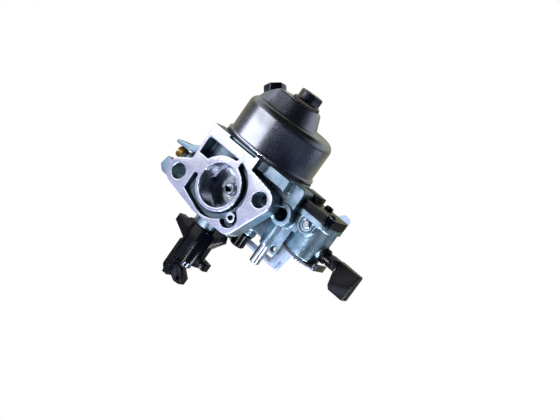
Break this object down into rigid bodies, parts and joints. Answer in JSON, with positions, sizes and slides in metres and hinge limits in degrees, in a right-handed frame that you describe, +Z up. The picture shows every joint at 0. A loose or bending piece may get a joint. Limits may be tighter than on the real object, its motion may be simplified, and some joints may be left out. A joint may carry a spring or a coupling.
{
  "type": "carburetor",
  "caption": "Side-draught float carburettor for a small engine, with choke and fuel levers, a black throttle lever and a plated float bowl.",
  "frame": {"origin": "centre of the outlet bore on the engine flange face", "axes": "+X out of the engine flange, +Z up, -Y towards the fuel valve"},
  "size_m": [0.0684, 0.1032, 0.0999],
  "materials": {
    "casting": "as cast, faces machined",
    "plated_steel": "bright zinc plate",
    "washer_fibre": "pressed fibre",
    "gasket_fibre": "moulded rubber",
    "black_moulding": "glossy moulded",
    "grey_moulding": "semi-gloss moulded",
    "brass": "turned",
    "bright_steel": "turned",
    "spring_steel": "drawn wire",
    "rubber": "moulded"
  },
  "bodies": {
    "housing": {"bowl_bolt": "plated_steel", "bowl_gasket": "gasket_fibre", "bowl_washer": "washer_fibre", "carb_body": "casting", "choke_seal": "rubber", "cover_screws": "plated_steel", "drain_bolt": "plated_steel", "drain_washer": "washer_fibre", "float_bowl": "plated_steel", "float_pin": "bright_steel", "fuel_nipple": "bright_steel", "fuel_packing": "rubber", "fuel_wave_spring": "spring_steel", "main_jet": "brass", "main_nozzle": "brass", "mixture_spring": "spring_steel", "needle_seat": "brass", "passage_plug": "bright_steel", "pilot_jet": "brass", "pilot_jet_cap": "black_moulding", "strainer_cover": "black_moulding", "strainer_screen": "rubber", "strainer_seal": "rubber", "throttle_seal": "rubber", "throttle_stop_spring": "spring_steel", "top_clip": "plated_steel", "top_clip_screw": "plated_steel"},
    "throttle": {"throttle_shaft": "bright_steel", "throttle_plate": "bright_steel", "throttle_plate_screw": "bright_steel", "throttle_lever": "black_moulding", "throttle_lever_screw": "plated_steel"},
    "choke_shaft_set": {"choke_shaft": "bright_steel", "choke_plate": "bright_steel", "choke_plate_screws": "bright_steel", "choke_arm": "plated_steel"},
    "choke_lever_set": {"choke_lever": "grey_moulding"},
    "fuel_lever_set": {"fuel_lever": "black_moulding"},
    "float_set": {"float": "black_moulding"},
    "needle_set": {"float_needle": "bright_steel"},
    "mixture_screw_set": {"mixture_screw": "brass"},
    "stop_screw_set": {"throttle_stop_screw": "black_moulding"}
  },
  "joints": [
    {"name": "throttle_turn", "type": "hinge", "parent": "housing", "child": "throttle", "pos_m": [-0.012, 0, 0.02], "axis": [0, 0, -1], "range_deg": [0, 80]},
    {"name": "choke_lever_swing", "type": "hinge", "parent": "housing", "child": "choke_lever_set", "pos_m": [-0.0356, -0.022, 0.002], "axis": [0, -1, 0], "range_deg": [0, 40]},
    {"name": "choke_turn", "type": "hinge", "parent": "housing", "child": "choke_shaft_set", "pos_m": [-0.0356, 0, 0.01], "axis": [0, 0, -1], "range_deg": [0, 80]},
    {"name": "fuel_lever_turn", "type": "hinge", "parent": "housing", "child": "fuel_lever_set", "pos_m": [-0.02, -0.049, -0.0025], "axis": [0, -1, 0], "range_deg": [0, 90]},
    {"name": "float_swing", "type": "hinge", "parent": "housing", "child": "float_set", "pos_m": [-0.0228, -0.0156, -0.023], "axis": [1, 0, 0], "range_deg": [0, 8]},
    {"name": "needle_lift", "type": "slide", "parent": "housing", "child": "needle_set", "axis": [0, 0, 1], "range_m": [0, 0.0009]},
    {"name": "mixture_screw_turn", "type": "hinge", "parent": "housing", "child": "mixture_screw_set", "pos_m": [-0.01, 0.028, 0.0016], "axis": [0, 1, 0], "range_deg": [-360, 900]},
    {"name": "stop_screw_turn", "type": "hinge", "parent": "housing", "child": "stop_screw_set", "pos_m": [-0.029, 0.0092, 0.0236], "axis": [-1, 0, 0], "range_deg": [-720, 720]}
  ],
  "couplings": [
    {"joint": "choke_turn", "follows": "choke_lever_swing", "ratio": 2},
    {"joint": "needle_lift", "follows": "float_swing", "m_per_rad": 0.006446}
  ]
}
